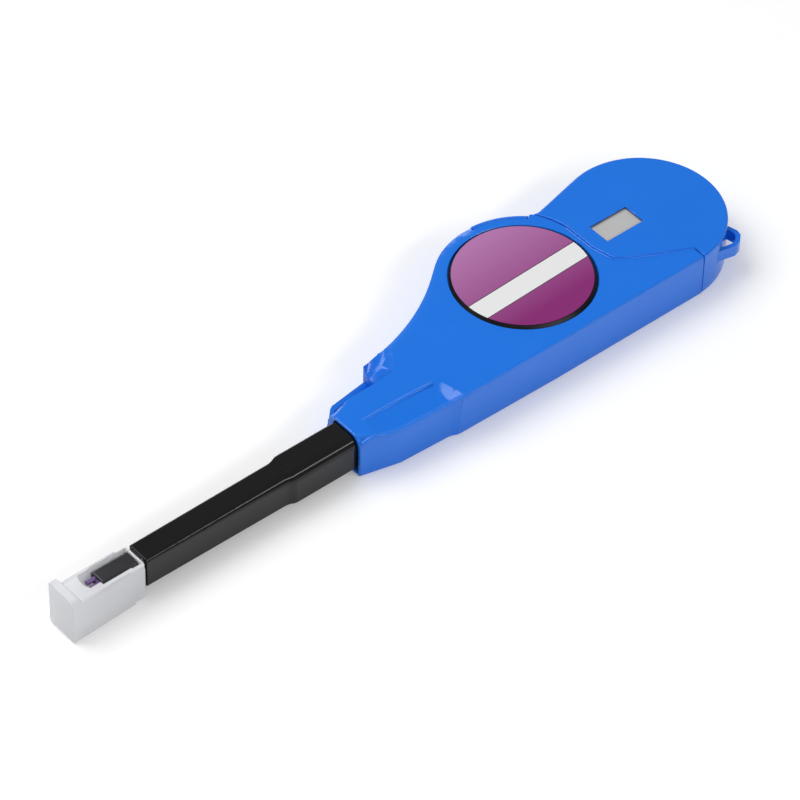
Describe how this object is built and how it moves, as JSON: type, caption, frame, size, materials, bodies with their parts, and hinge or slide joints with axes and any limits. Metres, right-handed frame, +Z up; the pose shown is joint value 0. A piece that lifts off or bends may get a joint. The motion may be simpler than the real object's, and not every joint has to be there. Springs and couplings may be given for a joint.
{
  "type": "fibre connector cleaning pen",
  "caption": "Flat push-type cleaning pen for multi-fibre connectors: housing with two tape reels, sliding nozzle and push-on cap.",
  "frame": {"origin": "on the flat underside, below the centre of the take-up reel and the round label", "axes": "+X along the pen, away from the tip; +Z up, out of the labelled face"},
  "size_m": [0.2348, 0.0499, 0.015],
  "materials": {
    "blue_shell": "fine satin moulding",
    "black_gloss": "polished moulding",
    "label_print": "smooth film with a plain two-tone print",
    "window_grey": "smooth satin",
    "dark_grey": "satin moulding",
    "purple_plastic": "satin moulding",
    "soft_rubber": "soft matte",
    "spring_steel": "drawn wire",
    "white_plastic": "slippery moulding",
    "tape_cloth": "fine woven cleaning tape",
    "felt": "pressed felt",
    "pin_steel": "ground pin",
    "clear_frosted": "frosted translucent moulding"
  },
  "bodies": {
    "housing": {"front_cover": "blue_shell", "rear_cover": "blue_shell", "base": "blue_shell", "label_dial": "black_gloss", "label_sticker": "label_print", "window_pane": "window_grey", "tape_guide_pins": "pin_steel", "brake_washer": "felt", "body_tape": "tape_cloth", "return_spring": "spring_steel"},
    "slider": {"nozzle": "black_gloss", "tip_sleeve": "dark_grey", "rack_slide": "white_plastic", "head_spring": "spring_steel"},
    "head": {"tape_head": "purple_plastic", "face_pad": "soft_rubber", "nozzle_tape": "tape_cloth"},
    "gear": {"drive_gear": "white_plastic"},
    "take_up": {"take_up_reel": "white_plastic", "take_up_roll": "tape_cloth"},
    "supply": {"supply_reel": "white_plastic", "supply_roll": "tape_cloth"},
    "pawl": {"stop_pawl": "white_plastic"},
    "cap": {"cap": "clear_frosted"}
  },
  "joints": [
    {"name": "nozzle_push", "type": "slide", "parent": "housing", "child": "slider", "axis": [1, 0, 0], "range_m": [0, 0.012], "stiffness_N_per_m": 150, "springref_m": -0.015, "deforming": ["return_spring"]},
    {"name": "head_press", "type": "slide", "parent": "slider", "child": "head", "axis": [1, 0, 0], "range_m": [0, 0.0015], "stiffness_N_per_m": 400, "springref_m": -0.002, "deforming": ["head_spring"]},
    {"name": "drive_gear_turn", "type": "hinge", "parent": "housing", "child": "gear", "pos_m": [0, 0, 0.0024], "axis": [0, 0, 1], "range_deg": [0, 57.5]},
    {"name": "take_up_turn", "type": "hinge", "parent": "housing", "child": "take_up", "pos_m": [0, 0, 0.0072], "axis": [0, 0, 1], "continuous": true},
    {"name": "supply_turn", "type": "hinge", "parent": "housing", "child": "supply", "pos_m": [0.0427, -0.0019, 0.0072], "axis": [0, 0, 1], "continuous": true},
    {"name": "pawl_lift", "type": "hinge", "parent": "housing", "child": "pawl", "pos_m": [-0.0236, 0.0076, 0.0037], "axis": [0, 0, -1], "range_deg": [0, 12], "stiffness_Nm_per_rad": 0.0005, "springref_deg": -5.73},
    {"name": "cap_pull", "type": "slide", "parent": "slider", "child": "cap", "axis": [-1, 0, 0], "range_m": [0, 0.03]}
  ],
  "couplings": [
    {"joint": "drive_gear_turn", "follows": "nozzle_push", "rad_per_m": 83.333},
    {"joint": "supply_turn", "follows": "take_up_turn", "ratio": -0.545}
  ]
}
